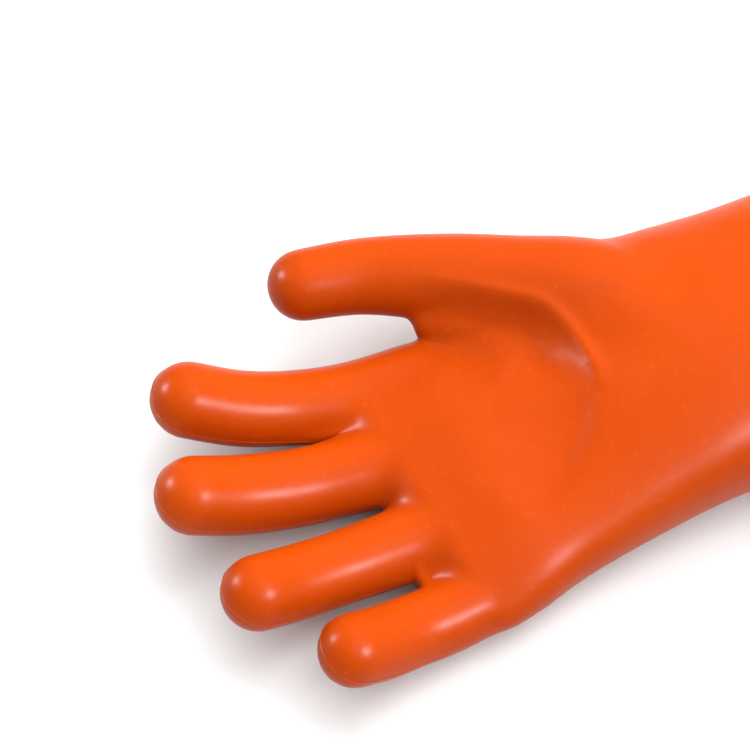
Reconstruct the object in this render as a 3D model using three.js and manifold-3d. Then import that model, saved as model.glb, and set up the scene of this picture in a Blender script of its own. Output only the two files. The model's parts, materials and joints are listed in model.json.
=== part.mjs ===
// Right-hand electrical insulating glove, dipped in one piece in thick rubber on a curved hand form.
//
// Units are millimetres. +X runs from the fingertips to the cuff, +Y towards the thumb and +Z out of
// the palm. The glove lies on the back of the hand at z = 0, and the origin is under its middle.
//
// The real glove is one seamless skin. Here it is divided where the rubber bends, so that every stiff
// stretch between two bends is a solid shell of its own. Each bend is an hourglass notch: the two
// sides meet in a line at mid thickness, and open towards the palm and the back by the angle that the
// bend closes.

import * as THREE from 'three';
import { LoftGeometry } from 'three/addons/geometries/LoftGeometry.js';
import { mergeVertices } from 'three/addons/utils/BufferGeometryUtils.js';
import Module from 'manifold-3d';

const wasm = await Module();
wasm.setup();

// ---------- driving dimensions ----------

const WALL = 2.3; // dry rubber, everywhere
const JOIN_GAP = 0.3; // between neighbouring shells that don't move apart
const BEND_GAP = 0.8; // along the line where the two sides of a bend meet
const BEND_SPARE = 1; // degrees left open on each side when a bend is closed
const CUFF_END = 205; // x of the outer edge of the rolled bead
const BEAD_RADIUS = 3;

const SLEEVE_SIDES = 32; // facets round the palm and the gauntlet
const FINGER_SIDES = 14;
const SECTIONS_PER_SPAN = 2; // lofted sections between two rows of a table
const TIP_RINGS = 3; // rings in a fingertip's round end
const BEAD_SIDES = 8;
const RUBBER_ORANGE = 0xf45a12;

// Sections of the palm, wrist and gauntlet, from the finger webs to the cuff:
// x and y of the middle, height of the middle, half width, half thickness, and how far the section
// leans towards the fingertips for each millimetre towards the thumb.
const SLEEVE = [
  [-127.5, -16.5, 18, 54, 11.5, 0.227],
  [-116, -16.5, 17.5, 56.5, 15, 0.21],
  [-97, -14.5, 18.5, 56.5, 18.5, 0.12],
  [-70, -10.5, 20.5, 54, 21, 0],
  [-40, -5, 25, 52.5, 25.6, 0],
  [-12, -0.5, 29, 53.5, 29.6, 0],
  [18, -0.5, 31.5, 53, 32.1, 0],
  [60, 0, 35, 54.5, 35.6, 0],
  [120, 0, 42, 58.5, 42.6, 0],
  [202, 0, 50.5, 62, 48.6, 0],
];

// Middle line of each finger from inside the palm to the centre of the round tip: x, y, z, radius.
// bends are the distances from the tip's centre to the tip bend and the middle bend.
const FINGERS = {
  index: {
    line: [
      [-100, 27.5, 18, 14],
      [-128, 27, 18, 13.7],
      [-150, 29.5, 20, 13.4],
      [-168, 32, 25.5, 13.5],
      [-184, 36, 34, 13.4],
    ],
    bends: { tip: 13.5, middle: 36 },
    webX: -134.5,
  },
  middle: {
    line: [
      [-104, -3.5, 18, 13.7],
      [-137.5, -2, 18, 13.5],
      [-158, -1.7, 20, 13.7],
      [-177, -1, 25.5, 13.8],
      [-191.8, 0, 33.5, 13.4],
    ],
    bends: { tip: 13.5, middle: 37 },
    webX: -134.5,
  },
  ring: {
    line: [
      [-104, -32, 18, 13.3],
      [-129, -33.3, 18, 13.1],
      [-149, -35.3, 20, 12.6],
      [-168, -38, 25, 12.7],
      [-180.6, -40.2, 31.5, 12.6],
    ],
    bends: { tip: 13, middle: 35 },
    webX: -128.5,
  },
  little: {
    line: [
      [-96, -58.5, 17, 12.4],
      [-121, -62.3, 17, 12.2],
      [-134, -64.2, 19, 12.1],
      [-147, -67, 24, 12.3],
      [-156.2, -68.4, 29.5, 12.1],
    ],
    bends: { tip: 11, middle: 28 },
    webX: -119.5,
  },
};

// The thumb's line starts deep in the ball of the thumb.
const THUMB = {
  line: [
    [-14, 20, 33, 25],
    [-38, 34, 35, 22.5],
    [-60, 45, 36, 19],
    [-78, 53, 36.5, 16.8],
    [-97, 60, 37, 15],
    [-114, 65, 37.3, 14],
    [-132.5, 66.8, 39, 13.2],
  ],
  tipBend: 17.5,
};
// The web of skin between the thumb and the index finger, filling the crotch.
const THUMB_WEB = [
  [-62, 30, 29, 14],
  [-80, 37, 30.5, 11],
  [-93.5, 42.5, 31.5, 6],
];
const THUMB_CROTCH = new THREE.Vector3(-99.5, 42.5, 33);
const THUMB_FOLD = new THREE.Vector3(0.8, 0.6, 0); // line of the thumb's base fold
const THUMB_PAD = new THREE.Vector3(0, -0.1, 0.995); // the way that the thumb's pad faces

// Bends of the palm and the wrist.
const KNUCKLE_BEND = new THREE.Vector3(-105, -16, 18);
const KNUCKLE_LINE = new THREE.Vector3(-0.08, 1, 0).normalize();
const WRIST_BEND = new THREE.Vector3(16, 0, 31);
const WRIST_SWING = new THREE.Vector3(48, 0, 34);

// How far each bend closes towards the palm and towards the back, in degrees.
const CLOSES = {
  knuckles: [50, 8],
  fingerMiddle: [60, 5],
  fingerTip: [36, 3],
  thumbBase: [20, 8],
  thumbTip: [32, 5],
  wristBend: [30, 12],
  wristSwing: [12, 12],
};

// ---------- solids ----------

function solidFrom(geometry) {
  const plain = new THREE.BufferGeometry();
  plain.setAttribute('position', geometry.getAttribute('position'));
  plain.setIndex(geometry.getIndex());
  const merged = mergeVertices(plain, 1e-4);
  const mesh = new wasm.Mesh({
    numProp: 3,
    vertProperties: new Float32Array(merged.attributes.position.array),
    triVerts: new Uint32Array(merged.index.array),
  });
  return new wasm.Manifold(mesh);
}

function geometryFrom(solid) {
  const mesh = solid.getMesh();
  const geometry = new THREE.BufferGeometry();
  geometry.setAttribute('position', new THREE.BufferAttribute(mesh.vertProperties, 3));
  geometry.setIndex(new THREE.BufferAttribute(mesh.triVerts, 1));
  geometry.computeVertexNormals();
  return geometry;
}

// A smooth curve through the rows of a table, at t from 0 to 1.
function through(rows, t) {
  const place = t * (rows.length - 1);
  const span = Math.min(Math.floor(place), rows.length - 2);
  const f = place - span;
  const row = (i) => rows[Math.min(Math.max(i, 0), rows.length - 1)];
  return rows[0].map((_, column) => {
    const [a, b, c, d] = [span - 1, span, span + 1, span + 2].map((i) => row(i)[column]);
    const startSlope = (c - a) / 2;
    const endSlope = (d - b) / 2;
    const bow = 2 * (b - c) + startSlope + endSlope;
    const lean = 3 * (c - b) - 2 * startSlope - endSlope;
    return ((bow * f + lean) * f + startSlope) * f + b;
  });
}

function samples(rows) {
  const count = (rows.length - 1) * SECTIONS_PER_SPAN;
  return Array.from({ length: count + 1 }, (_, i) => through(rows, i / count));
}

// The palm, wrist and gauntlet as one solid, its surface moved in by inset.
function sleeveSolid(inset) {
  const rows = samples(SLEEVE);
  const sections = rows.map(([x, y, z, halfWidth, halfThickness, lean], i) => {
    let station = x;
    if (i === 0) station += inset;
    if (i === rows.length - 1) station += inset > 0 ? BEAD_RADIUS * 3 : -BEAD_RADIUS - JOIN_GAP;
    return Array.from({ length: SLEEVE_SIDES }, (_, side) => {
      const turn = (side / SLEEVE_SIDES) * Math.PI * 2;
      const across = Math.cos(turn) * (halfWidth - inset);
      const up = Math.sin(turn) * (halfThickness - inset);
      return new THREE.Vector3(station - lean * across, y + across, z + up);
    });
  });
  return solidFrom(new LoftGeometry(sections, { capStart: true, capEnd: true }));
}

// Side and up directions square to a finger's own direction.
function squareTo(direction) {
  const side = new THREE.Vector3(0, 0, 1).cross(direction).normalize();
  return { side, up: direction.clone().cross(side) };
}

function ring(centre, radius, direction) {
  const { side, up } = squareTo(direction);
  return Array.from({ length: FINGER_SIDES }, (_, i) => {
    const turn = (i / FINGER_SIDES) * Math.PI * 2;
    return centre
      .clone()
      .addScaledVector(side, Math.cos(turn) * radius)
      .addScaledVector(up, Math.sin(turn) * radius);
  });
}

function directionAt(line, t) {
  const step = 0.01;
  const [before, after] = [Math.max(t - step, 0), Math.min(t + step, 1)].map((at) => {
    const [x, y, z] = through(line, at);
    return new THREE.Vector3(x, y, z);
  });
  return after.sub(before).normalize();
}

// One finger with its round end, its surface moved in by inset.
function fingerSolid(line, inset) {
  const rows = samples(line);
  const sections = rows.map(([x, y, z, radius], i) => {
    const direction = directionAt(line, i / (rows.length - 1));
    return ring(new THREE.Vector3(x, y, z), radius - inset, direction);
  });
  const [x, y, z, radius] = line.at(-1);
  const direction = directionAt(line, 1);
  for (let i = 1; i <= TIP_RINGS; i++) {
    const turn = (i / (TIP_RINGS + 0.3)) * (Math.PI / 2);
    const centre = new THREE.Vector3(x, y, z);
    centre.addScaledVector(direction, Math.sin(turn) * (radius - inset));
    sections.push(ring(centre, Math.cos(turn) * (radius - inset), direction));
  }
  return solidFrom(new LoftGeometry(sections, { capStart: true, capEnd: true }));
}

// ---------- bends ----------

// A bend turns about axis through centre. along points to the far side, and up is the side that
// closes first. reach and sides limit what counts as the far side.
function bend(centre, axis, along, closes, sides, reach = 260) {
  const up = along.clone().cross(axis).negate().normalize();
  return { centre, axis, along, up, closes, sides, reach };
}

// Everything beyond one face of a bend: face is +1 for the far side's own face, -1 for the near one's.
function beyond({ centre, axis, along, up, closes, sides, reach }, face, gap) {
  const height = 120;
  const [upSlope, downSlope] = closes.map((angle) =>
    angle > 0 ? Math.tan(THREE.MathUtils.degToRad(angle / 2 + BEND_SPARE)) : 0,
  );
  const start = (face * gap) / 2;
  const outline = new THREE.Shape([
    new THREE.Vector2(start, 0),
    new THREE.Vector2(start + face * downSlope * height, -height),
    new THREE.Vector2(reach, -height),
    new THREE.Vector2(reach, height),
    new THREE.Vector2(start + face * upSlope * height, height),
  ]);
  const depth = sides[1] - sides[0];
  const geometry = new THREE.ExtrudeGeometry(outline, { depth, bevelEnabled: false });
  const outOfPlane = along.clone().cross(up);
  const low = outOfPlane.dot(axis) > 0 ? sides[0] : -sides[1];
  const corner = centre.clone().addScaledVector(outOfPlane, low);
  geometry.applyMatrix4(new THREE.Matrix4().makeBasis(along, up, outOfPlane).setPosition(corner));
  return solidFrom(geometry);
}

function divide(solid, at, gap = BEND_GAP) {
  return {
    near: solid.subtract(beyond(at, -1, gap)),
    far: solid.intersect(beyond(at, 1, gap)),
  };
}

// A cut square to a finger's middle line, at the first point back from its tip where stop is true.
function fingerBend(line, stop, closes, pad, room) {
  const steps = 400;
  let t = 1;
  let run = 0;
  let point = new THREE.Vector3(...through(line, t));
  while (!stop(point, run)) {
    t -= 1 / steps;
    const next = new THREE.Vector3(...through(line, t));
    run += next.distanceTo(point);
    point = next;
  }
  const along = directionAt(line, t);
  const axis = along.clone().cross(pad).normalize();
  const width = through(line, t)[3] + room;
  return bend(point, axis, along, closes, [-width, width], 90);
}

// ---------- the skin ----------

const fingerLines = Object.values(FINGERS).map((finger) => finger.line);
fingerLines.push(THUMB.line, THUMB_WEB);
let outside = sleeveSolid(0);
let inside = sleeveSolid(WALL);
for (const line of fingerLines) {
  outside = outside.add(fingerSolid(line, 0));
  inside = inside.add(fingerSolid(line, WALL));
}
const floorBlock = new THREE.BoxGeometry(600, 400, 40).translate(0, 0, -20);
const skin = outside.subtract(solidFrom(floorBlock)).subtract(inside);

// ---------- the pieces ----------

const glove = new THREE.Group();
glove.name = 'insulating_glove';
const bends = {};

function addPiece(name, solid) {
  const material = new THREE.MeshStandardMaterial({
    color: RUBBER_ORANGE,
    roughness: 0.42,
    metalness: 0,
  });
  const mesh = new THREE.Mesh(geometryFrom(solid), material);
  mesh.name = name;
  glove.add(mesh);
}

const towardsFingers = new THREE.Vector3(-1, 0, 0);
const towardsCuff = new THREE.Vector3(1, 0, 0);
const acrossHand = new THREE.Vector3(0, 1, 0);

bends.wrist_bend = bend(WRIST_BEND, acrossHand.clone().negate(), towardsCuff, CLOSES.wristBend, [-120, 120]);
bends.wrist_swing = bend(
  WRIST_SWING,
  new THREE.Vector3(0, 0, 1),
  towardsCuff,
  CLOSES.wristSwing,
  [-120, 120],
);
const atWrist = divide(skin, bends.wrist_bend);
const atSwing = divide(atWrist.far, bends.wrist_swing);
addPiece('wrist_sleeve', atSwing.near);
addPiece('gauntlet', atSwing.far);

const hand = atWrist.near;

// The thumb's base folds about a slanted line from the crotch to the side of the hand. A plane along
// the space between the thumb and the index finger keeps the finger out of the thumb's piece.
const awayFromHand = new THREE.Vector3(0, 0, 1).cross(THUMB_FOLD);
bends.thumb_base = bend(THUMB_CROTCH, THUMB_FOLD, awayFromHand, CLOSES.thumbBase, [-110, 70]);
const thumbSide = bend(
  THUMB_CROTCH,
  new THREE.Vector3(0, 0, -1),
  new THREE.Vector3(0.1, 1, 0).normalize(),
  [0, 0],
  [-120, 120],
);
const thumbSpace = beyond(bends.thumb_base, -1, BEND_GAP).intersect(beyond(thumbSide, -1, BEND_GAP));
const thumbWhole = hand
  .intersect(beyond(bends.thumb_base, 1, BEND_GAP))
  .intersect(beyond(thumbSide, 1, BEND_GAP));
const atDistance = (distance) => (point, run) => run >= distance;
bends.thumb_tip = fingerBend(THUMB.line, atDistance(THUMB.tipBend), CLOSES.thumbTip, THUMB_PAD, 3);
const atThumbTip = divide(thumbWhole, bends.thumb_tip);
addPiece('thumb_root', atThumbTip.near);
addPiece('thumb_tip', atThumbTip.far);

// All four fingers bend together across the knuckles, where the webs tie them into one piece.
const alongFingers = new THREE.Vector3(0, 0, 1).cross(KNUCKLE_LINE);
bends.knuckles = bend(KNUCKLE_BEND, KNUCKLE_LINE, alongFingers, CLOSES.knuckles, [-110, 80]);
const atKnuckles = divide(hand.subtract(thumbSpace), bends.knuckles);
addPiece('palm', atKnuckles.near);

let webs = atKnuckles.far;
const palmUp = new THREE.Vector3(0, 0, 1);
for (const [name, { line, bends: at, webX }] of Object.entries(FINGERS)) {
  const middleBend = fingerBend(line, atDistance(at.middle), CLOSES.fingerMiddle, palmUp, 3.2);
  const tipBend = fingerBend(line, atDistance(at.tip), CLOSES.fingerTip, palmUp, 2.2);
  const rootCut = fingerBend(line, (point) => point.x >= webX, [0, 0], palmUp, 1.2);
  const atMiddle = divide(webs, middleBend);
  const atTip = divide(atMiddle.far, tipBend);
  const atRoot = divide(atMiddle.near, rootCut, JOIN_GAP);
  addPiece(`${name}_root`, atRoot.far);
  addPiece(`${name}_middle`, atTip.near);
  addPiece(`${name}_tip`, atTip.far);
  bends[`${name}_middle`] = middleBend;
  bends[`${name}_tip`] = tipBend;
  webs = atRoot.near;
}
addPiece('knuckle_web', webs);

// The rubber rolled back on itself at the cuff: a round bead on the middle of the wall.
function cuffBead() {
  const [, y, z, halfWidth, halfThickness] = SLEEVE.at(-1);
  const centre = new THREE.Vector3(CUFF_END - BEAD_RADIUS, y, z);
  const sections = [];
  for (let i = 0; i <= SLEEVE_SIDES; i++) {
    const turn = ((i % SLEEVE_SIDES) / SLEEVE_SIDES) * Math.PI * 2;
    const spoke = new THREE.Vector3(0, Math.cos(turn), Math.sin(turn));
    const onWall = new THREE.Vector3(
      0,
      Math.cos(turn) * (halfWidth - WALL / 2),
      Math.sin(turn) * (halfThickness - WALL / 2),
    ).add(centre);
    sections.push(
      Array.from({ length: BEAD_SIDES }, (_, side) => {
        const roll = (side / BEAD_SIDES) * Math.PI * 2;
        return onWall
          .clone()
          .addScaledVector(spoke, Math.cos(roll) * BEAD_RADIUS)
          .addScaledVector(towardsCuff, -Math.sin(roll) * BEAD_RADIUS);
      }),
    );
  }
  return solidFrom(new LoftGeometry(sections));
}
addPiece('cuff_bead', cuffBead());

// Centre and axis of every bend, for whoever rigs the glove.
glove.userData.bends = Object.fromEntries(
  Object.entries(bends).map(([name, { centre, axis }]) => [
    name,
    { centre: centre.toArray(), axis: axis.toArray() },
  ]),
);

export default glove;
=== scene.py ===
# %% [markdown]
# # An electrical insulating glove in orange rubber
#
# The real glove is dipped: a smooth hand form, called a former, goes into liquid rubber again and
# again, and the skin that dries on it is peeled off. So this lesson works the same way. It shapes a
# former, lets a mesh settle on it, opens the mesh at the cuff, gives it the rubber's wall, and divides
# it at stiff rings so that every piece crosses one bend of the hand.
#
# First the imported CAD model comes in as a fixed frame: its joints say where the glove bends, and its
# nodes say where every piece is.

# %% Load the frame
import json
import math

import bmesh
import bpy
import numpy as np
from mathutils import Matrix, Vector


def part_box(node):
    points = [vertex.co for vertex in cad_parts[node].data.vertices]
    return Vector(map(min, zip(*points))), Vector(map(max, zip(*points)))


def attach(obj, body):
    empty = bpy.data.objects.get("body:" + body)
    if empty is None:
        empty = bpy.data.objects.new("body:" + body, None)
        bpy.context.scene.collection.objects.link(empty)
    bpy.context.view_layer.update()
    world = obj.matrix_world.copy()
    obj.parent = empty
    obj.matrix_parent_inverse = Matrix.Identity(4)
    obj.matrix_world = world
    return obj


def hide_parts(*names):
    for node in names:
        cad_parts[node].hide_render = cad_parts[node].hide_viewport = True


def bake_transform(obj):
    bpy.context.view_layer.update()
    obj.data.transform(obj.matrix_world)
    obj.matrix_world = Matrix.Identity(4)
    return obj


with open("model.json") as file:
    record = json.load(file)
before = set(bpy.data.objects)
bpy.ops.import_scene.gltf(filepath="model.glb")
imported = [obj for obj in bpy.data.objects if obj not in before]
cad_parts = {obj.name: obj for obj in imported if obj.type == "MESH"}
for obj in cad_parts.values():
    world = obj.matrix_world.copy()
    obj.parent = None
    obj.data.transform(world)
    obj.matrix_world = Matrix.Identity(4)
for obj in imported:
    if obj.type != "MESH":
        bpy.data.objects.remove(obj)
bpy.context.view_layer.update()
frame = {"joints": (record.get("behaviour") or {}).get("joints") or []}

joints = {joint["name"]: joint for joint in frame["joints"]}
MM = 0.001

# %% [markdown]
# ## Camera
#
# The glove is looked down on from 60 degrees, a little from the fingers' side, through a long lens
# that keeps the fingers from looking stretched.

# %% Camera
VIEW_AZIMUTH = math.radians(-17.9)
VIEW_ELEVATION = math.radians(60)
CAMERA_AT = Vector((-215.4, -271.9, 575.3)) * MM
LENS = 85
SENSOR_WIDTH = 36

away = Vector((
    math.sin(VIEW_AZIMUTH) * math.cos(VIEW_ELEVATION),
    -math.cos(VIEW_AZIMUTH) * math.cos(VIEW_ELEVATION),
    math.sin(VIEW_ELEVATION),
))
bpy.ops.object.camera_add(location=CAMERA_AT, rotation=(-away).to_track_quat("-Z", "Y").to_euler())
camera = bpy.context.object
camera.data.lens = LENS
camera.data.sensor_width = SENSOR_WIDTH
camera.data.clip_start = 0.01
bpy.context.scene.camera = camera
print("camera", round(CAMERA_AT.length, 3), "m from the middle of the glove's footprint")

# %% [markdown]
# ## Floor
#
# A plain pale floor, as a sheet of paper under the glove would be.

# %% Floor
FLOOR_SIZE = 8.0
FLOOR_DROP = 0.0005  # just under the glove, so that the two don't flicker
FLOOR_GREY = 0.6

bpy.ops.mesh.primitive_plane_add(size=FLOOR_SIZE, location=(0, 0, -FLOOR_DROP))
floor = bpy.context.object
floor.name = "floor"
floor_paint = bpy.data.materials.new("pale_floor")
floor_paint.use_nodes = True
floor_surface = floor_paint.node_tree.nodes["Principled BSDF"]
floor_surface.inputs["Base Color"].default_value = (FLOOR_GREY, FLOOR_GREY, FLOOR_GREY, 1)
floor_surface.inputs["Roughness"].default_value = 0.9
floor.data.materials.append(floor_paint)
print("floor", FLOOR_SIZE, "m wide")

# %% [markdown]
# ## Light
#
# Two large soft lamps and a pale sky light the rubber evenly. A rounded fingertip shows a lamp as one
# soft spot, so the spots come from two small lamps, whose places matter. Each pair does only its own
# job: the large lamps make no spots, and the small ones add no other light.

# %% Lamps
HAND_MIDDLE = Vector((-0.08, 0, 0.03))
SKY_STRENGTH = 0.4
# metres to the right, up and towards the camera as the camera sees the hand, then size and watts
LARGE_LAMPS = {"top": ((0.5, 1.6, 0.7), 2.2, 78), "front": ((0.35, 0.35, 1.5), 1.5, 34)}
SMALL_LAMPS = {"left": ((-0.95, 0.46, 0.2), 0.18, 15), "right": ((0.42, -0.02, 0.62), 0.17, 13)}

right = Vector((math.cos(VIEW_AZIMUTH), math.sin(VIEW_AZIMUTH), 0))
up = away.cross(right)


def square_lamp(name, place, size, power):
    """A square lamp at a place given as the camera sees it, turned towards the hand."""
    sideways, upwards, forwards = place
    spot = HAND_MIDDLE + right * sideways + up * upwards + away * forwards
    turn = (HAND_MIDDLE - spot).to_track_quat("-Z", "Y").to_euler()
    bpy.ops.object.light_add(type="AREA", location=spot, rotation=turn)
    lamp = bpy.context.object
    lamp.name = f"lamp_{name}"
    lamp.data.shape = "SQUARE"
    lamp.data.size = size
    lamp.data.energy = power
    return lamp


for name, (place, size, power) in SMALL_LAMPS.items():
    square_lamp(name, place, size, power).visible_diffuse = False
for name, (place, size, power) in LARGE_LAMPS.items():
    square_lamp(name, place, size, power).visible_glossy = False

world = bpy.data.worlds.new("studio")
bpy.context.scene.world = world
world.use_nodes = True
sky = world.node_tree.nodes["Background"]
sky.inputs["Color"].default_value = (1, 1, 1, 1)
sky.inputs["Strength"].default_value = SKY_STRENGTH
bpy.context.scene.view_settings.view_transform = "Standard"

# %% [markdown]
# ## The former
#
# The former is a hand of clay. Its sleeve is a row of ovals from the webs to the cuff, and each finger
# is a round rod along a bent middle line. The stations are in millimetres, close to those that the CAD
# shells were lofted through, and a smooth curve runs through them.

# %% Stations of the former
# x, y and height of the middle, half width, half thickness, and how far the oval leans
SLEEVE = [
    (-127.5, -16.5, 18, 54, 13.3, 0.227),
    (-116, -16.5, 17.8, 56.5, 15, 0.21),
    (-97, -14, 18.5, 55.8, 18.5, 0.12),
    (-70, -10, 20.5, 53.2, 21, 0),
    (-40, -5, 25, 52.5, 25.6, 0),
    (-12, -0.5, 29, 53.5, 29.6, 0),
    (18, -0.5, 31.5, 53, 32.1, 0),
    (60, 0, 35, 54.5, 35.6, 0),
    (120, 0, 42, 58.5, 42.6, 0),
    (202, 0, 50.5, 62, 48.6, 0),
]
# x, y, height and radius, from inside the palm to the middle of the round tip
FINGERS = {
    "index": [(-100, 27.5, 18, 14), (-128, 27, 18, 13.7), (-150, 29.5, 20, 13.4),
              (-168, 32, 25.5, 13.5), (-184.7, 36, 34, 13.5)],
    "middle": [(-104, -3.5, 18, 13.7), (-137.5, -2, 18, 13.5), (-158, -1.7, 20, 13.7),
               (-177, -1, 25.5, 13.8), (-192.5, -0.3, 33.5, 13.5)],
    "ring": [(-104, -32, 18, 13.3), (-129, -33.3, 18, 13.1), (-149, -35.3, 20, 12.6),
             (-168, -38, 25, 12.7), (-181.3, -40.5, 31.5, 12.7)],
    "little": [(-96, -57.5, 17, 12), (-121, -62.3, 17, 12.2), (-134, -64.2, 19, 12.1),
               (-147, -67, 24, 12.3), (-156.9, -68.7, 29.5, 12.2)],
}
THUMB = [(-12, 15, 32, 24), (-38, 32, 35, 22), (-60, 43.8, 36, 18.6), (-78, 52.4, 36.5, 16.8),
         (-97, 60, 37, 14.9), (-114, 65, 37.2, 13.7), (-133.4, 66.5, 38.8, 12.9)]
THUMB_WEB = [(-62, 30, 29, 14), (-80, 37, 30.5, 11), (-93.5, 42.5, 31.5, 6)]
STEPS = {"finger": 48, "thumb": 60, "thumb_web": 16, "sleeve": 160}


def along(rows, count):
    """A smooth curve through rows, as count + 1 evenly spread rows."""
    rows = np.array(rows, float)
    padded = np.vstack([rows[:1], rows, rows[-1:]])
    place = np.linspace(0, len(rows) - 1, count + 1)
    span = np.minimum(place.astype(int), len(rows) - 2)
    f = (place - span)[:, None]
    a, b, c, d = (padded[span + i] for i in range(4))
    start, end = (c - a) / 2, (d - b) / 2
    return ((2 * (b - c) + start + end) * f + 3 * (c - b) - 2 * start - end) * f * f + start * f + b


rods = {name: along(rows, STEPS["finger"]) for name, rows in FINGERS.items()}
rods["thumb"] = along(THUMB, STEPS["thumb"])
rods["thumb_web"] = along(THUMB_WEB, STEPS["thumb_web"])
sleeve = along(SLEEVE, STEPS["sleeve"])
print({name: f"{len(rows)} stations" for name, rows in rods.items()})

# %% [markdown]
# ## Rough form
#
# By hand one would draw a circle, then extrude it, move it and scale it, station by station. The same
# operators do it here: one tube for the sleeve and one for every finger. The tubes run into each
# other, and a voxel remesh makes one closed skin of them all.

# %% Rough tubes
ROD_SIDES = 24
SLEEVE_SIDES = 48
ROD_SKIP = 4  # a rough tube uses every fourth station, and the sleeve every eighth
SLEEVE_SKIP = 8
ROUND_END = ((0.8, 0.6), (0.35, 0.93))  # shares of the radius: how wide, and how far past the last


def only(*objects):
    """Selects these objects and nothing else, and makes the first one active."""
    bpy.ops.object.select_all(action="DESELECT")
    for o in objects:
        o.select_set(True)
    bpy.context.view_layer.objects.active = objects[0]


def rough_tube(name, stations, sides):
    """A closed tube: a filled circle extruded through stations of (centre, half width, half height)."""
    centre, wide, high = stations[0]
    turn = (math.pi / 2, 0, math.pi / 2)
    bpy.ops.object.select_all(action="DESELECT")
    bpy.ops.mesh.primitive_circle_add(
        vertices=sides, radius=1, fill_type="NGON", location=centre, rotation=turn,
        enter_editmode=True,
    )
    bpy.ops.transform.resize(value=(1, wide, high))
    for before, after in zip(stations, stations[1:]):
        step = Vector(after[0]) - Vector(before[0])
        bpy.ops.mesh.extrude_region_move(TRANSFORM_OT_translate={"value": step})
        bpy.ops.transform.resize(value=(1, after[1] / before[1], after[2] / before[2]))
    bpy.ops.mesh.select_all(action="SELECT")
    bpy.ops.mesh.normals_make_consistent(inside=False)
    bpy.ops.object.mode_set(mode="OBJECT")
    tube = bpy.context.object
    tube.name = name
    return tube


def rod_stations(rows):
    """Some stations of a rod in metres, with two small ones at its round end."""
    picked = [(Vector(row[:3]) * MM, row[3] * MM, row[3] * MM) for row in rows[::ROD_SKIP]]
    last = Vector(rows[-1][:3])
    onward = (last - Vector(rows[-2][:3])).normalized()
    radius = rows[-1][3]
    for share, reach in ROUND_END:
        small = radius * share * MM
        picked.append(((last + onward * radius * reach) * MM, small, small))
    return picked


tubes = [rough_tube(name, rod_stations(rows), ROD_SIDES) for name, rows in rods.items()]
print("rods:", [tube.name for tube in tubes])

# %% [markdown]
# ## One rough skin
#
# The sleeve is drawn longer than the glove, because a dipped skin is cut back to a clean edge. Then
# all the tubes are joined, and the remesh walks round them and leaves one closed skin.

# %% Join and remesh
PAST_CUFF = 14
VOXEL = 1.6
ovals = [(Vector(row[:3]) * MM, row[3] * MM, row[4] * MM) for row in sleeve[::SLEEVE_SKIP]]
ovals.append((ovals[-1][0] + Vector((PAST_CUFF * MM, 0, 0)), ovals[-1][1], ovals[-1][2]))
tubes.append(rough_tube("sleeve", ovals, SLEEVE_SIDES))
only(*tubes)
bpy.ops.object.join()
skin = bpy.context.object
skin.name = "skin"
bpy.ops.object.transform_apply(location=True, rotation=True, scale=True)
remesh = skin.modifiers.new("one_skin", "REMESH")
remesh.mode = "VOXEL"
remesh.voxel_size = VOXEL * MM
bpy.ops.object.modifier_apply(modifier=remesh.name)
print("rough skin:", len(skin.data.vertices), "points")

# %% [markdown]
# ## Distance to the clay
#
# The rough skin has corners where the tubes meet. Clay hasn't: a thumb presses the corner full. So
# the smooth form is written as a distance, in millimetres, from any point to the surface. A rod's
# distance is the way to its middle line less its radius. Where two parts meet at an angle the corner
# is filled, and where they lie side by side facing the same way nothing is added.

# %% Rods and sleeve
ROD_REACH = 60  # a rod is only measured from points this near it
ROOT_END_ROUND = 10.0  # how round the palm's edge at the webs is
# how square the sleeve's upper side is at the palm's heel, along x, where 2 is an oval
SQUARE_AT = (-130, -90, -20, 60, 120)
SQUARE = (2.6, 3, 2.9, 2.2, 2)
PLAIN_SQUARE = 2.1  # and everywhere else


def rod_distance(rows, points):
    """(distance, outward direction) of points from a round rod with round ends."""
    best = np.full(len(points), 1e9)
    outward = np.tile((0.0, 0.0, 1.0), (len(points), 1))
    low, high = rows[:, :3].min(0) - ROD_REACH, rows[:, :3].max(0) + ROD_REACH
    near = np.all((points > low) & (points < high), axis=1)
    local = points[near]
    local_best, local_out = np.full(len(local), 1e9), np.zeros_like(local)
    for a, b in zip(rows, rows[1:]):
        line = b[:3] - a[:3]
        share = np.clip((local - a[:3]) @ line / (line @ line), 0, 1)
        offset = local - a[:3] - share[:, None] * line
        length = np.linalg.norm(offset, axis=1) + 1e-9
        distance = length - a[3] - share * (b[3] - a[3])
        closer = distance < local_best
        local_best[closer] = distance[closer]
        local_out[closer] = (offset / length[:, None])[closer]
    best[near], outward[near] = local_best, local_out
    return best, outward


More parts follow.
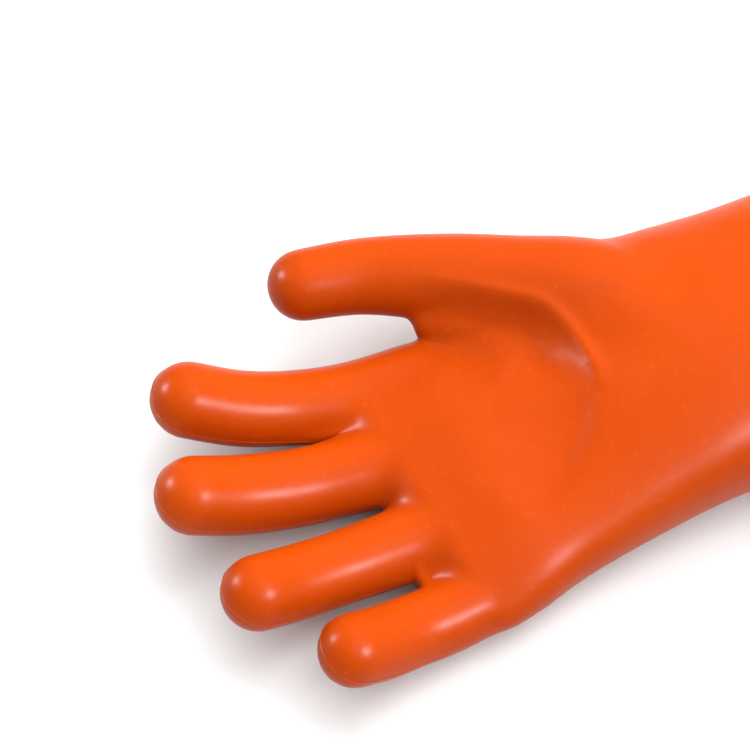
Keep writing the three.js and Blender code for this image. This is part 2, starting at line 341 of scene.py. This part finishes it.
def sleeve_distance(points):
    """(distance, outward direction) of points from the palm, wrist and gauntlet."""
    x, y, z = points.T
    station = x
    for _ in range(3):
        across = y - np.interp(station, sleeve[:, 0], sleeve[:, 1])
        station = x + np.interp(station, sleeve[:, 0], sleeve[:, 5]) * across
    end = sleeve[0, 0] + ROOT_END_ROUND
    low, wide, high = (np.interp(station, sleeve[:, 0], sleeve[:, i]) for i in (2, 3, 4))
    u, v = across / wide, (z - low) / high
    heel = np.clip(v * 2 + 0.5, 0, 1) * np.clip(0.6 - u * 1.5, 0, 1)
    square = PLAIN_SQUARE + (np.interp(station, SQUARE_AT, SQUARE) - PLAIN_SQUARE) * heel
    reach = (np.abs(u) ** square + np.abs(v) ** square) ** (1 / square) + 1e-9
    slope_u = np.sign(u) * np.abs(u) ** (square - 1) / wide
    slope_v = np.sign(v) * np.abs(v) ** (square - 1) / high
    slope = np.hypot(slope_u, slope_v) * reach ** (1 - square) + 1e-9
    side = (reach - 1) / slope
    outward = np.stack([0 * x, slope_u, slope_v], 1) / np.hypot(slope_u, slope_v)[:, None]
    past = np.maximum(end - station, 0)
    inner = np.maximum(side + ROOT_END_ROUND, 0)
    rounded = np.where(past > 0, np.hypot(past, inner) - ROOT_END_ROUND, side)
    share = past / (np.hypot(past, inner) + 1e-9)
    outward = outward * (1 - share)[:, None] - share[:, None] * np.array((1.0, 0, 0))
    return rounded, outward / np.linalg.norm(outward, axis=1)[:, None]


print("sleeve:", len(sleeve), "ovals")

# %% [markdown]
# ## The palm's hollow
#
# A relaxed hand has a hollow in its palm. Its rim runs round the ball of the thumb and then along the
# heel of the hand: steep by the thumb, faint across the middle.

# %% Hollow
RIM_POINTS = [(-100, 53), (-91, 48), (-79, 41), (-67, 33), (-58, 26.5), (-53, 18.5), (-50, 8),
              (-48.5, -6), (-51.5, -20), (-61, -33), (-72, -44), (-84, -52)]
RIM = along(RIM_POINTS, 33)
HOLLOW_DEPTH = 2.8
HOLLOW_WALL = ((0, 45, 62, 76, 95), (8.5, 8.5, 14, 13, 10))  # the hollow is deepest this far inside
HOLLOW_FADE = 26.0  # and rises again towards the fingers over this length
HOLLOW_ALONG = ((0, 25, 52, 66, 84, 98, 115, 135, 145), (0, 0.6, 0.85, 1.0, 0.4, 0.65, 0.75, 0.4, 0))


def beside_rim(points):
    """(millimetres inside the rim, less than 0 outside, and how far along it) for each point."""
    flat = points[:, :2]
    best, side, run, where = np.full(len(flat), 1e9), np.zeros(len(flat)), 0.0, np.zeros(len(flat))
    for a, b in zip(RIM, RIM[1:]):
        line = b - a
        length = np.linalg.norm(line)
        share = np.clip((flat - a) @ line / length ** 2, 0, 1)
        offset = flat - a - share[:, None] * line
        gap = np.linalg.norm(offset, axis=1)
        closer = gap < best
        cross = offset[:, 0] * line[1] - offset[:, 1] * line[0]
        best[closer], side[closer] = gap[closer], np.sign(cross)[closer]
        where[closer] = (run + share * length)[closer]
        run += length
    return best * side, where


def hollow(points):
    """How deep the palm's hollow is over each point."""
    x, y, z = points.T
    palm_top = (x > -125) & (x < -40) & (z > 15)
    inward, where = beside_rim(points[palm_top])
    width = np.interp(where, *HOLLOW_WALL)
    ease = np.clip(inward / width, 0, 1)
    wall = ease * ease * (3 - 2 * ease)
    rise = np.exp(-(np.maximum(inward - width, 0) / HOLLOW_FADE) ** 2)
    depth = np.zeros(len(points))
    depth[palm_top] = HOLLOW_DEPTH * wall * rise * np.interp(where, *HOLLOW_ALONG)
    return depth


print("rim of the hollow:", len(RIM), "points")

# %% [markdown]
# ## The whole clay hand
#
# The corners are filled, the palm gets two low swellings behind the fingers, and the clay is pressed
# on a bench so that its back is a little flat.

# %% Clay
# how large the filled corners are: in front of the thumb's crotch, in the palm and at the wrist
FILLET_AT = (-102, -76, -40, -8)
FILLET = {"index": (7, 7, 7, 7), "middle": (7, 7, 7, 7), "ring": (7, 7, 7, 7),
          "little": (7, 8, 8, 8), "thumb": (7, 22, 24, 44), "thumb_web": (5, 14, 14, 14)}
SWELL = 0.15  # the clay is a little large, for the softening takes some off
SWELLINGS = [(-74, 11, 9, 15, 1.5), (-96, -12, 12, 30, 0.6)]  # x, y, length, width and height
BENCH = 1.5
BENCH_EDGE = 3  # how softly the flat back runs into the round sides


def fill_corner(first, second, size):
    """Joins two parts, each (distance, outward), and fills the corner between them."""
    (a, out_a), (b, out_b) = first, second
    meet = size * np.sqrt(np.clip(1 - np.sum(out_a * out_b, 1), 0, 2) / 2) + 1e-3
    share = np.clip(0.5 + 0.5 * (b - a) / meet, 0, 1)
    outward = out_a * share[:, None] + out_b * (1 - share)[:, None]
    outward /= np.linalg.norm(outward, axis=1)[:, None] + 1e-9
    return b + (a - b) * share - meet * share * (1 - share), outward


def distance(points):
    """Millimetres from points to the clay, less than 0 inside."""
    whole = sleeve_distance(points)
    for name, rows in rods.items():
        size = np.interp(points[:, 0], FILLET_AT, FILLET[name])
        whole = fill_corner(whole, rod_distance(rows, points), size)
    result, outward = whole[0] - SWELL, whole[1]
    for x, y, length, width, height in SWELLINGS:
        ahead, aside = (points[:, 0] - x) / length, (points[:, 1] - y) / width
        swelling = height * np.exp(-ahead ** 2 - aside ** 2)
        result = result - swelling * np.clip(outward[:, 2] * 1.5, 0, 1)
    result = result + hollow(points) * np.clip(outward[:, 2] * 2, 0, 1)
    bench = BENCH - points[:, 2]
    rest = np.clip(0.5 + 0.5 * (result - bench) / BENCH_EDGE, 0, 1)
    return bench + (result - bench) * rest + BENCH_EDGE * rest * (1 - rest) - BENCH * (1 - rest)


def steepest(points, step=0.15):
    """The field's slope at points: the direction straight out of the clay."""
    slope = np.empty_like(points)
    for axis in range(3):
        shift = np.zeros(3)
        shift[axis] = step
        slope[:, axis] = (distance(points + shift) - distance(points - shift)) / (2 * step)
    return slope


middle_depth = -distance(np.array([HAND_MIDDLE]) / MM)[0]
print("the middle of the hand is", round(float(middle_depth), 1), "mm inside the clay")

# %% [markdown]
# ## Settle the skin on the clay
#
# Each point of the rough skin moves along the slope of the field until it lies on the clay, the way a
# shrinkwrap works.

# %% Settle
SOFTEN_ROUNDS = (8, 6, 6)
SETTLE_ROUNDS = (2, 3)
LONGEST_STEP = 3


def read_all(items, field, width):
    """One row of a mesh's own numbers for each of its items."""
    flat = np.empty(len(items) * width)
    items.foreach_get(field, flat)
    return flat.reshape(-1, width)


def points_of(mesh):
    """The mesh's points in millimetres."""
    return read_all(mesh.vertices, "co", 3) / MM


def settle(mesh, rounds):
    """Moves the points onto the clay, and says how far the glove's farthest point still is."""
    points = points_of(mesh)
    for _ in range(rounds):
        slope = steepest(points)
        size = np.sum(slope ** 2, 1)
        move = -(distance(points) / np.maximum(size, 0.2))[:, None] * slope
        points += np.clip(move, -LONGEST_STEP, LONGEST_STEP)
    mesh.vertices.foreach_set("co", (points * MM).ravel())
    mesh.update()
    on_glove = points[:, 0] < sleeve[-1, 0]  # past the cuff the skin is waste
    return float(np.abs(distance(points[on_glove])).max())


def soften(rounds):
    """A wet thumb over the clay takes sharp corners away."""
    smooth = skin.modifiers.new("soften", "SMOOTH")
    smooth.factor = 0.5
    smooth.iterations = rounds
    only(skin)
    bpy.ops.object.modifier_apply(modifier=smooth.name)


for soft, settling in zip(SOFTEN_ROUNDS, SETTLE_ROUNDS):
    soften(soft)
    farthest = settle(skin.data, settling)
soften(SOFTEN_ROUNDS[-1])
print("farthest point from the clay before the last softening:", round(farthest, 3), "mm")

# %% [markdown]
# ## Parting lines and ridge
#
# The former is a casting, and the seam between the two halves of its mould prints through the rubber
# as a thin raised line down both sides of each finger and over the tip. A blunt ridge also runs along
# the hollow's rim, beside the ball of the thumb. Here is where they lie and how high they stand.

# %% Where the lines lie
RIDGE_HEIGHT = 1.3  # the ridge on the hollow's rim, beside the ball of the thumb
RIDGE_WIDTH = 3.0
RIDGE_ALONG = ((4, 22, 45, 78, 90), (0, 0.6, 1, 1, 0))
SEAM_HEIGHT = 0.28
SEAM_WIDTH = 0.42
SEAM_START = 0.34  # as a share of the rod from its start in the palm
SEAM_FADE = 0.12
FINGER_NAMES = list(FINGERS)


def beside_rod(rows, points):
    """(share of the way along, height over the seam, seam's up direction) for points near a rod."""
    gap = np.linalg.norm(points[:, None] - rows[None, :, :3], axis=2)
    near = gap.argmin(1)
    lines = np.gradient(rows[:, :3], axis=0)
    lines /= np.linalg.norm(lines, axis=1)[:, None]
    side = np.cross((0, 0, 1.0), lines)
    side /= np.linalg.norm(side, axis=1)[:, None]
    lift = np.cross(lines, side)
    inward = np.sum((points - rows[near, :3]) * lines[near], 1) / 2
    height = np.sum((points - rows[near, :3]) * lift[near], 1)
    step = np.linalg.norm(rows[1, :3] - rows[0, :3])
    return (near + inward / step) / (len(rows) - 1), height, lift[near]


def seam_of(name, points):
    """How high each point stands over one finger's seam, and 1 where the seam is, 0 elsewhere."""
    share, height, lift = beside_rod(rods[name], points)
    on_finger = rod_distance(rods[name], points)[0] < 2
    fade = np.clip((share - SEAM_START) / SEAM_FADE, 0, 1) * on_finger
    return height, fade, lift


def ridge_of(points):
    """How high the ridge on the hollow's rim stands."""
    inward, where = beside_rim(points)
    return RIDGE_HEIGHT * np.exp(-(inward / RIDGE_WIDTH) ** 2) * np.interp(where, *RIDGE_ALONG)


print("parting lines on", FINGER_NAMES)

# %% [markdown]
# ## Finer faces beside the lines
#
# A line can't stand up on faces wider than itself, so the faces beside it are divided three times, in
# ever narrower bands. The skin's own outward directions are kept first, as an attribute, because they
# stay smooth through the dividing and the cutting that follow.

# %% Divide beside the lines
BANDS = (2.2, 1.3, 0.9)  # millimetres to each side of a parting line
RIDGE_BAND = 6
RIDGE_ROUNDS = 2
RIDGE_END = 92
RIDGE_LOWEST = 34

out_normal = skin.data.attributes.new("out", "FLOAT_VECTOR", "POINT")
out_normal.data.foreach_set("vector", read_all(skin.data.vertices, "normal", 3).ravel())

shape = bmesh.new()
shape.from_mesh(skin.data)
for i, band in enumerate(BANDS):
    shape.verts.ensure_lookup_table()
    points = np.array([v.co for v in shape.verts]) / MM
    inward, where = beside_rim(points)
    on_ridge = (np.abs(inward) < RIDGE_BAND) & (where < RIDGE_END) & (points[:, 2] > RIDGE_LOWEST)
    close = on_ridge & (i < RIDGE_ROUNDS)
    for name in FINGER_NAMES:
        height, fade, lift = seam_of(name, points)
        close |= (np.abs(height) < band) & (fade > 0)
    picked = [edge for edge in shape.edges if all(close[v.index] for v in edge.verts)]
    bmesh.ops.subdivide_edges(shape, edges=picked, cuts=1, use_grid_fill=True)
shape.to_mesh(skin.data)
shape.free()
print("divided skin:", len(skin.data.vertices), "points")

# %% [markdown]
# ## Raise the lines
#
# The points go out by the height of the line, and their outward directions lean with its two flanks,
# so that the line catches the light.

# %% Raise
RIDGE_PROBE = 0.05
PALM_LOWEST = 30


def outs_of(mesh):
    """The skin's outward direction at each point."""
    outs = read_all(mesh.attributes["out"].data, "vector", 3)
    return outs / np.linalg.norm(outs, axis=1)[:, None]


points = points_of(skin.data)
outs = outs_of(skin.data)
for name in FINGER_NAMES:
    height, fade, lift = seam_of(name, points)
    bump = SEAM_HEIGHT * np.exp(-(height / SEAM_WIDTH) ** 2) * fade
    lean = 2 * height / SEAM_WIDTH ** 2 * bump
    points += outs * bump[:, None]
    outs += lift * lean[:, None]
palm_side = np.clip(outs[:, 2] * 2, 0, 1) * (points[:, 2] > PALM_LOWEST)
ridge = ridge_of(points)
for axis in range(2):
    shift = np.eye(3)[axis] * RIDGE_PROBE
    lean = (ridge_of(points + shift) - ridge_of(points - shift)) / (2 * RIDGE_PROBE)
    outs[:, axis] -= lean * palm_side
points[:, 2] += ridge * palm_side
outs /= np.linalg.norm(outs, axis=1)[:, None]
skin.data.vertices.foreach_set("co", (points * MM).ravel())
skin.data.attributes["out"].data.foreach_set("vector", outs.ravel())
print("raised:", int((ridge * palm_side > 0.1).sum()), "points on the ridge")

# %% [markdown]
# ## Divide the skin
#
# One skin can't follow twelve joints, so it is cut square across where it stays stiff, halfway between
# two bends. Every piece then crosses one joint only, and its two ends keep to its neighbours.

# %% Where the cuts are
CUFF_END = 200.5
WRIST_CUT = 32.5
KNUCKLE_CUT = (-92, -16)
MIDDLE_HEIGHT = 18.0
CROTCH = np.array((-99.0, 42.6, 33))
FOLD_OUT = np.array((-0.6, 0.8, 0))
THUMB_SIDE = np.array((0.0995, 0.995, 0))
# how far back from the middle of the tip each finger is cut: before its tip bend, and past the web
FINGER_CUTS = {"index": (22.5, 49), "middle": (23, 53.5), "ring": (22.5, 51), "little": (18.2, 37)}
THUMB_CUT = 26.5


def back_from_tip(name, distance_back):
    """(point, direction) on a rod's middle line, that many millimetres back from the tip's middle."""
    rows = rods[name][::-1, :3]
    runs = np.concatenate([[0], np.cumsum(np.linalg.norm(np.diff(rows, axis=0), axis=1))])
    point = np.array([np.interp(distance_back, runs, rows[:, i]) for i in range(3)])
    ahead = np.array([np.interp(distance_back - 2, runs, rows[:, i]) for i in range(3)])
    behind = np.array([np.interp(distance_back + 2, runs, rows[:, i]) for i in range(3)])
    return point, (ahead - behind) / np.linalg.norm(ahead - behind)


def face_centres(mesh):
    """The middles of the mesh's faces in millimetres."""
    return read_all(mesh.polygons, "center", 3) / MM


print("knuckle cut at x", KNUCKLE_CUT[0], "mm, wrist cut at x", WRIST_CUT, "mm")

# %% [markdown]
# ## Cut
#
# Each cut is a bisect of chosen faces only: those near the plane and on the right rod or the right side
# of the thumb's crotch.

# %% Cuts
CUT_REACH = 4
THUMB_SPARE = 1
CROTCH_REACH = 12


def cut(choose, point, normal):
    """Cuts the chosen faces along a plane. choose gives a true or false for each face centre."""
    only(skin)
    bpy.ops.object.mode_set(mode="EDIT")
    bpy.ops.mesh.select_mode(type="FACE")
    bpy.ops.mesh.select_all(action="DESELECT")
    bpy.ops.object.mode_set(mode="OBJECT")
    centres = face_centres(skin.data)
    beside = np.abs((centres - point) @ np.array(normal)) < CUT_REACH
    skin.data.polygons.foreach_set("select", choose(centres) & beside)
    bpy.ops.object.mode_set(mode="EDIT")
    bpy.ops.mesh.bisect(plane_co=np.array(point) * MM, plane_no=normal, threshold=1e-7)
    bpy.ops.object.mode_set(mode="OBJECT")


def belongs(name, centres, reach=3):
    """True for the faces that are on one rod."""
    return np.abs(rod_distance(rods[name], centres)[0]) < reach


def everywhere(centres):
    """True for every face."""
    return np.full(len(centres), True)


def past(centres, point, normal):
    """True for the faces beyond a plane."""
    return (centres - point) @ np.array(normal) > 0


def on_thumb_side(centres, spare=0.0):
    """True for the faces on the thumb's side of its crotch."""
    return (centres - CROTCH) @ THUMB_SIDE > -spare


def near_crotch(centres):
    """True for the faces close to the thumb's crotch, seen from above."""
    return np.hypot(*(centres - CROTCH).T[:2]) < CROTCH_REACH


knuckle_point = np.array((*KNUCKLE_CUT, MIDDLE_HEIGHT))
knuckle_out = np.cross((0, 0, 1), joints["knuckle_bend"]["axis"])
cut(everywhere, (WRIST_CUT, 0, 0), (1, 0, 0))
cut(everywhere, (CUFF_END, 0, 0), (1, 0, 0))
cut(lambda c: on_thumb_side(c, THUMB_SPARE), CROTCH, FOLD_OUT)
cut(lambda c: past(c, CROTCH, FOLD_OUT) & near_crotch(c), CROTCH, THUMB_SIDE)
cut(lambda c: ~(on_thumb_side(c) & past(c, CROTCH, FOLD_OUT)), knuckle_point, knuckle_out)
thumb_point, thumb_out = back_from_tip("thumb", THUMB_CUT)
cut(lambda c: belongs("thumb", c) & on_thumb_side(c), thumb_point, thumb_out)
for name, distances in FINGER_CUTS.items():
    for back in distances:
        cut(lambda c: belongs(name, c), *back_from_tip(name, back))
print("cut skin:", len(skin.data.polygons), "faces")

# %% [markdown]
# ## Name every face's piece
#
# A face belongs to the piece that its middle lies in. What is past the cuff's end is waste.

# %% Names
centres = face_centres(skin.data)
part = np.full(len(centres), "palm", dtype=object)
part[past(centres, knuckle_point, knuckle_out)] = "knuckles"
part[centres[:, 0] > WRIST_CUT] = "gauntlet"
part[centres[:, 0] > CUFF_END] = "waste"
on_thumb = past(centres, CROTCH, FOLD_OUT) & on_thumb_side(centres) & (centres[:, 0] < WRIST_CUT)
part[on_thumb] = "thumb_root"
part[on_thumb & past(centres, thumb_point, thumb_out)] = "thumb_tip"
for name, (tip_back, root_back) in FINGER_CUTS.items():
    mine = (part == "knuckles") & belongs(name, centres)
    part[mine & past(centres, *back_from_tip(name, root_back))] = f"{name}_middle"
    part[mine & past(centres, *back_from_tip(name, tip_back))] = f"{name}_tip"
piece_names = sorted(set(part) - {"waste"})
print({name: int((part == name).sum()) for name in piece_names})

# %% [markdown]
# ## Wall
#
# Each piece gets the rubber's thickness inwards, with a flat rim at each end, so that it is closed.
# The inner skin lies exactly one wall under the outer one, and both pieces at a cut agree on it.

# %% Pieces with a wall
WALL = 2.3


def only_named(name):
    """A copy of the skin that keeps only the faces of one piece."""
    piece = skin.copy()
    piece.data = skin.data.copy()
    piece.name = f"{name}_skin"
    bpy.context.collection.objects.link(piece)
    cutter = bmesh.new()
    cutter.from_mesh(piece.data)
    cutter.faces.ensure_lookup_table()
    waste = [cutter.faces[i] for i in np.flatnonzero(part != name)]
    bmesh.ops.delete(cutter, geom=waste, context="FACES")
    cutter.to_mesh(piece.data)
    cutter.free()
    return piece


def give_wall(piece):
    """Solidifies the piece and puts its inner points one wall under its outer ones."""
    outer, outs = points_of(piece.data), outs_of(piece.data)
    wall = piece.modifiers.new("wall", "SOLIDIFY")
    wall.thickness = WALL * MM
    wall.offset = -1
    only(piece)
    bpy.ops.object.modifier_apply(modifier=wall.name)
    both = np.vstack([outer, outer - outs * WALL])
    piece.data.vertices.foreach_set("co", (both * MM).ravel())
    inside = piece.data.attributes.new("inside", "FLOAT", "POINT")
    inside.data.foreach_set("value", np.repeat((0.0, 1.0), len(outer)))
    piece.data.update()
    return outs


def keep_smooth(piece, outs):
    """Gives the piece the whole skin's normals, so that no cut shows, and leaves its rims flat."""
    corner_point = read_all(piece.data.loops, "vertex_index", 1).astype(int).ravel()
    normals = np.vstack([outs, -outs])[corner_point]
    for face in piece.data.polygons:
        corners = slice(face.loop_start, face.loop_start + face.loop_total)
        on_outer = int((corner_point[corners] < len(outs)).sum())
        if 0 < on_outer < face.loop_total:
            normals[corners] = face.normal
    bpy.ops.object.shade_smooth()
    piece.data.normals_split_custom_set([tuple(n) for n in normals])


piece_meshes = {}
for name in piece_names:
    piece_meshes[name] = only_named(name)
    keep_smooth(piece_meshes[name], give_wall(piece_meshes[name]))
bpy.data.objects.remove(skin)
print({name: len(piece.data.polygons) for name, piece in piece_meshes.items()})

# %% [markdown]
# ## Cuff bead
#
# While the rubber is still wet its edge is rolled back on itself, which makes a round bead that keeps
# the cuff from tearing. A circle with a round bevel is stretched to the cuff's oval. Stretching a
# curve also thins its bevel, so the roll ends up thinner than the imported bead; both are printed.

# %% Cuff bead
BEAD_STEPS = 40
BEAD_ROUND = 8
bead_box = [np.array(corner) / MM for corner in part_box("cuff_bead")]
BEAD_RADIUS = (bead_box[1][0] - bead_box[0][0]) / 2
bead_middle = (bead_box[0] + bead_box[1]) / 2
bead_half = (bead_box[1] - bead_box[0]) / 2 - BEAD_RADIUS
turned_to_x = (0, math.pi / 2, 0)
bpy.ops.curve.primitive_bezier_circle_add(radius=1, location=bead_middle * MM, rotation=turned_to_x)
bead = bpy.context.object
bead.name = "cuff_bead_roll"
bead.scale = (bead_half[2] * MM, bead_half[1] * MM, 1)
bpy.ops.object.transform_apply(location=True, rotation=True, scale=True)
bead.data.resolution_u = BEAD_STEPS
bead.data.bevel_depth = BEAD_RADIUS * MM
bead.data.bevel_resolution = BEAD_ROUND
bpy.ops.object.convert(target="MESH")
bead = bpy.context.object
bpy.ops.object.shade_smooth()
roll = float(np.ptp(points_of(bead.data)[:, 0]))
print("packed bead:", round(2 * BEAD_RADIUS, 2), "mm thick, roll:", round(roll, 2), "mm thick")

# %% [markdown]
# ## What moves with what
#
# Each piece is given the two bodies of its one joint and a stretch of rubber for the bend, about as
# long as the bend's outer side needs. Its transform is baked into its mesh, the CAD parts that it
# stands for are hidden, and the cuff bead rides on the gauntlet.

# %% Bend stretches and ride
def zone(name, body_a, body_b, start, end, *nodes):
    """Bakes the piece's transform into its mesh and hides the CAD parts named in nodes. body_a, body_b,
    start and end (points in millimetres) are not used.
    """
    piece = piece_meshes[name]
    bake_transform(piece)
    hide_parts(*nodes)


WRIST_BEND = ((37, 0, 34), (59, 0, 34))
WRIST_SWING = ((4, 0, 31), (28, 0, 31))
KNUCKLE_BEND = (4, 27)  # past the knuckle cut
THUMB_FOLD = 8.5
# how far back from the middle of the tip each bend starts and ends: the finger's middle, then its tip
BEND_ZONES = {"index": ((47, 25), (20, 7)), "middle": ((48, 26), (20, 7)),
              "ring": ((46, 24), (19.5, 6.5)), "little": ((36, 19.5), (17.5, 4.5))}
THUMB_TIP_ZONE = (25.5, 9.5)
WEBS = ("knuckle_web", "index_root", "middle_root", "ring_root", "little_root")

zone("gauntlet", "wrist", "gauntlet", *WRIST_BEND, "gauntlet")
zone("palm", "palm", "wrist", *WRIST_SWING, "palm", "wrist_sleeve")
knuckle_bend = [knuckle_point + knuckle_out * past_cut for past_cut in KNUCKLE_BEND]
zone("knuckles", "palm", "knuckles", *knuckle_bend, *WEBS)
for name, (middle, tip) in BEND_ZONES.items():
    middle_bend = [back_from_tip(name, back)[0] for back in middle]
    tip_bend = [back_from_tip(name, back)[0] for back in tip]
    zone(f"{name}_middle", "knuckles", f"{name}_middle", *middle_bend, f"{name}_middle")
    zone(f"{name}_tip", f"{name}_middle", f"{name}_tip", *tip_bend, f"{name}_tip")
zone("thumb_root", "palm", "thumb_root", CROTCH, CROTCH + FOLD_OUT * THUMB_FOLD, "thumb_root")
thumb_bend = [back_from_tip("thumb", back)[0] for back in THUMB_TIP_ZONE]
zone("thumb_tip", "thumb_root", "thumb_tip", *thumb_bend, "thumb_tip")
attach(bead, "gauntlet")
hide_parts("cuff_bead")

# %% [markdown]
# ## Shader arithmetic
#
# A material is built of nodes. This class lets sums of node outputs be written as plain sums: each
# step adds one Math node.

# %% Shader arithmetic
class Socket:
    """A node's output that can be added and multiplied, each step being a Math node."""

    def __init__(self, paint, output):
        self.paint = paint
        self.output = output

    def math(self, operation, other):
        """A Math node on this output and another value."""
        return self.paint.value("ShaderNodeMath", {"operation": operation}, self, other)

    def __add__(self, other):
        return self.math("ADD", other)

    def __mul__(self, other):
        return self.math("MULTIPLY", other)

    __radd__ = __add__
    __rmul__ = __mul__


print("sums and products of sockets are ready")

# %% [markdown]
# ## Paint
#
# Paint holds one material and puts nodes in it: settings first, then values or links.

# %% Paint
class Paint:
    """A new material whose nodes are put in one at a time."""

    def __init__(self, name):
        self.material = bpy.data.materials.new(name)
        self.material.use_nodes = True
        self.tree = self.material.node_tree
        self.surface = self.tree.nodes["Principled BSDF"]

    def put(self, kind, settings, *values, pick=0, **named):
        """Adds a node, settings first, then values or links by place or by name, and gives an output."""
        node = self.tree.nodes.new(kind)
        for key, value in settings.items():
            setattr(node, key, value)
        for key, value in [*enumerate(values), *named.items()]:
            self.set(node.inputs[key], value)
        return node.outputs[pick]

    def set(self, place, value):
        """Links a value into a socket, or sets a constant on it."""
        if isinstance(value, Socket):
            value = value.output
        if isinstance(value, bpy.types.NodeSocket):
            self.tree.links.new(value, place)
        else:
            place.default_value = value

    def value(self, *arguments, **named):
        """The same as put, for an output that is a number to calculate with."""
        return Socket(self, self.put(*arguments, **named))

    def mix(self, share, first, second):
        """A colour between two others."""
        colour = self.put("ShaderNodeMix", {"data_type": "RGBA"}, pick=2)
        for place, value in ((0, share), (6, first), (7, second)):
            self.set(colour.node.inputs[place], value)
        return colour

    def noise(self, where, scale, detail, roughness=0.5):
        """Cloudy noise from 0 to 1, scale lumps to the metre."""
        return self.value("ShaderNodeTexNoise", {}, Vector=where, Scale=scale, Detail=detail,
                          Roughness=roughness)

    def band(self, value, low, high):
        """0 below low, 1 above high, smooth between."""
        settings = {"interpolation_type": "SMOOTHSTEP"}
        return self.value("ShaderNodeMapRange", settings, value, low, high, 0.0, 1.0)


print("paint is ready")

# %% [markdown]
# ## Rubber
#
# Dipped rubber is satin. Close to, it has a fine grain, faint clouds where the colour settled, and a
# few rubbed places that shine a little more. The inside is dusted with powder and is duller.

# %% Rubber
SHEEN = 0.08
GRAIN_DEPTH = 0.0006
# lumps to the metre and how much detail each has
CLOUDS, SPECKS, PORES, RUBBED = (14, 3), (420, 3), (1500, 2), (55, 5, 0.6)


def rubber(name, deep, plain, pale, roughness, grain):
    """Satin rubber in three close tones."""
    paint = Paint(name)
    place = paint.put("ShaderNodeTexCoord", {}, pick=3)
    clouds, specks, pores, rubbed = (paint.noise(place, *n) for n in (CLOUDS, SPECKS, PORES, RUBBED))
    colour = paint.mix(paint.band(clouds, 0.35, 0.7), deep, plain)
    colour = paint.mix(paint.band(specks, 0.55, 0.9) * 0.25, colour, pale)
    inside = paint.value("ShaderNodeAttribute", {"attribute_name": "inside"}, pick=2)
    powder = inside * (paint.band(rubbed, 0.2, 0.8) * 0.3 + 0.25)
    rough = rubbed * 0.1 + specks * 0.06 + inside * 0.25 + (roughness - 0.08)
    height = clouds * 0.6 + specks * 0.12 + pores * 0.05
    bump = paint.put("ShaderNodeBump", {}, Strength=grain, Distance=GRAIN_DEPTH, Height=height)
    paint.set(paint.surface.inputs["Base Color"], paint.mix(powder, colour, pale))
    paint.set(paint.surface.inputs["Roughness"], rough)
    paint.set(paint.surface.inputs["Normal"], bump)
    paint.set(paint.surface.inputs["Specular IOR Level"], SHEEN)
    return paint.material


glove_rubber = rubber(
    "orange_rubber", deep=(0.36, 0.038, 0.0006, 1), plain=(0.39, 0.044, 0.0008, 1),
    pale=(0.54, 0.1, 0.015, 1), roughness=0.34, grain=0.2,
)
bead_rubber = rubber(
    "rolled_rubber", deep=(0.35, 0.034, 0.0007, 1), plain=(0.38, 0.04, 0.001, 1),
    pale=(0.54, 0.1, 0.02, 1), roughness=0.5, grain=0.35,
)
for piece in [*piece_meshes.values(), bead]:
    piece.data.materials.clear()
    piece.data.materials.append(bead_rubber if piece == bead else glove_rubber)
print("painted", len(piece_meshes) + 1, "pieces")
